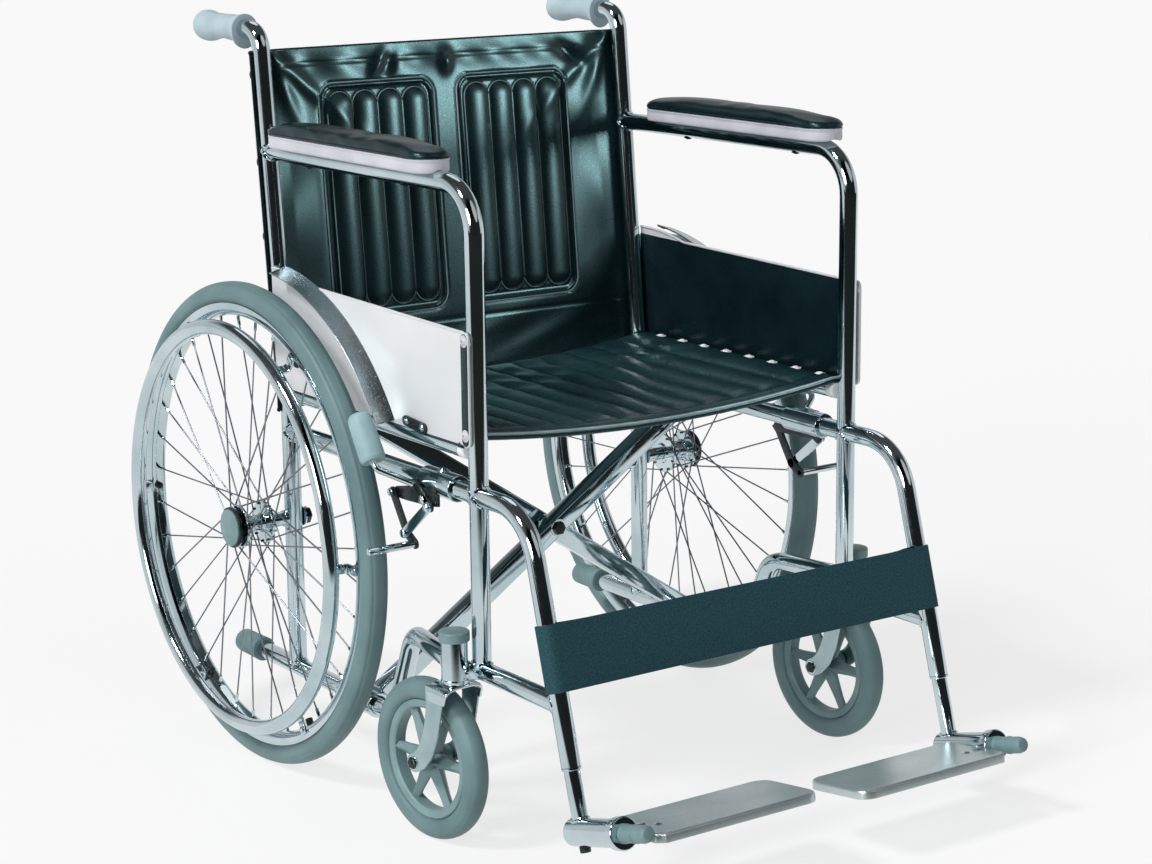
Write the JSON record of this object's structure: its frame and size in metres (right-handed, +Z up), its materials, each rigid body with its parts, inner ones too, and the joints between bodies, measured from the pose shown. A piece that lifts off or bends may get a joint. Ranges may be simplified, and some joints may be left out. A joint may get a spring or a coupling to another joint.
{
  "type": "folding wheelchair",
  "caption": "Manual folding wheelchair: chrome tube side frames on a scissor brace, sling seat and back, spoked wheels with handrims, swivel castors and flip-up footplates.",
  "frame": {"origin": "on the floor, under the middle of the bounding box", "axes": "+Z up, the user faces -Y, the user's right side is -X"},
  "size_m": [0.7314, 1.0448, 0.917],
  "materials": {
    "chrome": "polished chrome plate",
    "vinyl": "grained black vinyl, glossy",
    "strap": "woven strap, matte",
    "tyre": "smooth grey rubber",
    "castor_grey": "satin grey",
    "rubber": "pale moulded rubber",
    "pad_base": "satin",
    "skirt": "smooth, satin",
    "black_metal": "black, satin",
    "plug_white": "white, satin",
    "aluminium": "polished"
  },
  "bodies": {
    "frame_right": {"back_post_right": "chrome", "arm_tube_right": "chrome", "side_rail_right": "chrome", "hanger_right": "chrome", "lower_rail_right": "chrome", "castor_housing_right": "chrome", "push_grip_right": "rubber", "tipping_cap_right": "rubber", "arm_pad_base_right": "pad_base", "arm_pad_right": "vinyl", "skirt_guard_right": "skirt", "lock_bracket_right": "black_metal", "wheel_axle_right": "chrome", "back_sling": "vinyl", "calf_strap": "strap"},
    "frame_left": {"back_post_left": "chrome", "arm_tube_left": "chrome", "side_rail_left": "chrome", "hanger_left": "chrome", "lower_rail_left": "chrome", "castor_housing_left": "chrome", "push_grip_left": "rubber", "tipping_cap_left": "rubber", "arm_pad_base_left": "pad_base", "arm_pad_left": "vinyl", "skirt_guard_left": "skirt", "lock_bracket_left": "black_metal", "wheel_axle_left": "chrome"},
    "brace_front_arm": {"brace_front": "chrome", "brace_bolt": "chrome", "seat_rail_plug_left": "plug_white", "seat_sling": "vinyl"},
    "brace_back_arm": {"brace_back": "chrome", "seat_rail_plug_right": "plug_white"},
    "rear_wheel_right": {"wheel_tyre_right": "tyre", "wheel_rim_right": "chrome", "wheel_hub_right": "chrome", "handrim_right": "chrome"},
    "castor_right": {"castor_fork_right": "chrome"},
    "castor_wheel_right_body": {"castor_wheel_right": "castor_grey", "castor_tyre_right": "tyre"},
    "foot_slide_right": {"foot_tube_right": "chrome"},
    "footplate_right_body": {"footplate_right": "aluminium"},
    "lock_lever_right_body": {"lock_lever_right": "black_metal", "lock_grip_right": "rubber"},
    "lock_link_right_body": {"lock_link_right": "chrome"},
    "lock_shoe_right_body": {"lock_shoe_right": "black_metal"},
    "rear_wheel_left": {"wheel_tyre_left": "tyre", "wheel_rim_left": "chrome", "wheel_hub_left": "chrome", "handrim_left": "chrome"},
    "castor_left": {"castor_fork_left": "chrome"},
    "castor_wheel_left_body": {"castor_wheel_left": "castor_grey", "castor_tyre_left": "tyre"},
    "foot_slide_left": {"foot_tube_left": "chrome"},
    "footplate_left_body": {"footplate_left": "aluminium"},
    "lock_lever_left_body": {"lock_lever_left": "black_metal", "lock_grip_left": "rubber"},
    "lock_link_left_body": {"lock_link_left": "chrome"},
    "lock_shoe_left_body": {"lock_shoe_left": "black_metal"}
  },
  "joints": [
    {"name": "fold", "type": "hinge", "parent": "frame_right", "child": "brace_front_arm", "pos_m": [-0.2675, 0.0424, 0.106], "axis": [0, -1, 0], "range_deg": [0, 31], "deforming": ["seat_sling", "back_sling", "calf_strap"]},
    {"name": "brace_cross", "type": "hinge", "parent": "brace_front_arm", "child": "brace_back_arm", "pos_m": [0, 0.0424, 0.283], "axis": [0, -1, 0], "range_deg": [-62, 0]},
    {"name": "frame_turn", "type": "hinge", "parent": "brace_back_arm", "child": "frame_left", "pos_m": [0.2675, 0.0694, 0.106], "axis": [0, -1, 0], "range_deg": [0, 31]},
    {"name": "wheel_spin_right", "type": "hinge", "parent": "frame_right", "child": "rear_wheel_right", "pos_m": [-0.3225, 0.2224, 0.3], "axis": [1, 0, 0], "continuous": true},
    {"name": "castor_swivel_right", "type": "hinge", "parent": "frame_right", "child": "castor_right", "pos_m": [-0.295, -0.1886, 0.2], "axis": [0, 0, 1], "continuous": true},
    {"name": "castor_spin_right", "type": "hinge", "parent": "castor_right", "child": "castor_wheel_right_body", "pos_m": [-0.29933, -0.1428, 0.095], "axis": [0.9956, 0.0941, 0], "continuous": true},
    {"name": "foot_slide_right", "type": "slide", "parent": "frame_right", "child": "foot_slide_right", "axis": [0, -0.2756, -0.9613], "range_m": [-0.04, 0.03]},
    {"name": "footplate_flip_right", "type": "hinge", "parent": "foot_slide_right", "child": "footplate_right_body", "pos_m": [-0.2675, -0.39505, 0.07502], "axis": [0, -0.9613, 0.2756], "range_deg": [0, 90]},
    {"name": "wheel_lock_right", "type": "hinge", "parent": "frame_right", "child": "lock_lever_right_body", "pos_m": [-0.2858, -0.1176, 0.392], "axis": [1, 0, 0], "range_deg": [0, 50]},
    {"name": "lock_link_turn_right", "type": "hinge", "parent": "lock_lever_right_body", "child": "lock_link_right_body", "pos_m": [-0.28885, -0.12886, 0.3855], "axis": [1, 0, 0], "range_deg": [-48.65, 0]},
    {"name": "lock_shoe_turn_right", "type": "hinge", "parent": "frame_right", "child": "lock_shoe_right_body", "pos_m": [-0.2858, -0.0496, 0.388], "axis": [1, 0, 0], "range_deg": [0, 12.5]},
    {"name": "wheel_spin_left", "type": "hinge", "parent": "frame_left", "child": "rear_wheel_left", "pos_m": [0.3225, 0.2224, 0.3], "axis": [1, 0, 0], "continuous": true},
    {"name": "castor_swivel_left", "type": "hinge", "parent": "frame_left", "child": "castor_left", "pos_m": [0.295, -0.1886, 0.2], "axis": [0, 0, 1], "continuous": true},
    {"name": "castor_spin_left", "type": "hinge", "parent": "castor_left", "child": "castor_wheel_left_body", "pos_m": [0.29259, -0.14266, 0.095], "axis": [0.9986, 0.0523, 0], "continuous": true},
    {"name": "foot_slide_left", "type": "slide", "parent": "frame_left", "child": "foot_slide_left", "axis": [0, -0.2756, -0.9613], "range_m": [-0.04, 0.03]},
    {"name": "footplate_flip_left", "type": "hinge", "parent": "foot_slide_left", "child": "footplate_left_body", "pos_m": [0.2675, -0.39891, 0.06156], "axis": [0, 0.9613, -0.2756], "range_deg": [0, 90]},
    {"name": "wheel_lock_left", "type": "hinge", "parent": "frame_left", "child": "lock_lever_left_body", "pos_m": [0.2858, -0.1176, 0.392], "axis": [1, 0, 0], "range_deg": [0, 50]},
    {"name": "lock_link_turn_left", "type": "hinge", "parent": "lock_lever_left_body", "child": "lock_link_left_body", "pos_m": [0.28885, -0.12886, 0.3855], "axis": [1, 0, 0], "range_deg": [-48.65, 0]},
    {"name": "lock_shoe_turn_left", "type": "hinge", "parent": "frame_left", "child": "lock_shoe_left_body", "pos_m": [0.2858, -0.0496, 0.388], "axis": [1, 0, 0], "range_deg": [0, 12.5]}
  ],
  "couplings": [
    {"joint": "brace_cross", "follows": "fold", "ratio": -2},
    {"joint": "frame_turn", "follows": "fold", "ratio": 1},
    {"joint": "lock_link_turn_right", "follows": "wheel_lock_right", "ratio": -0.973},
    {"joint": "lock_shoe_turn_right", "follows": "wheel_lock_right", "ratio": 0.25},
    {"joint": "lock_link_turn_left", "follows": "wheel_lock_left", "ratio": -0.973},
    {"joint": "lock_shoe_turn_left", "follows": "wheel_lock_left", "ratio": 0.25}
  ]
}
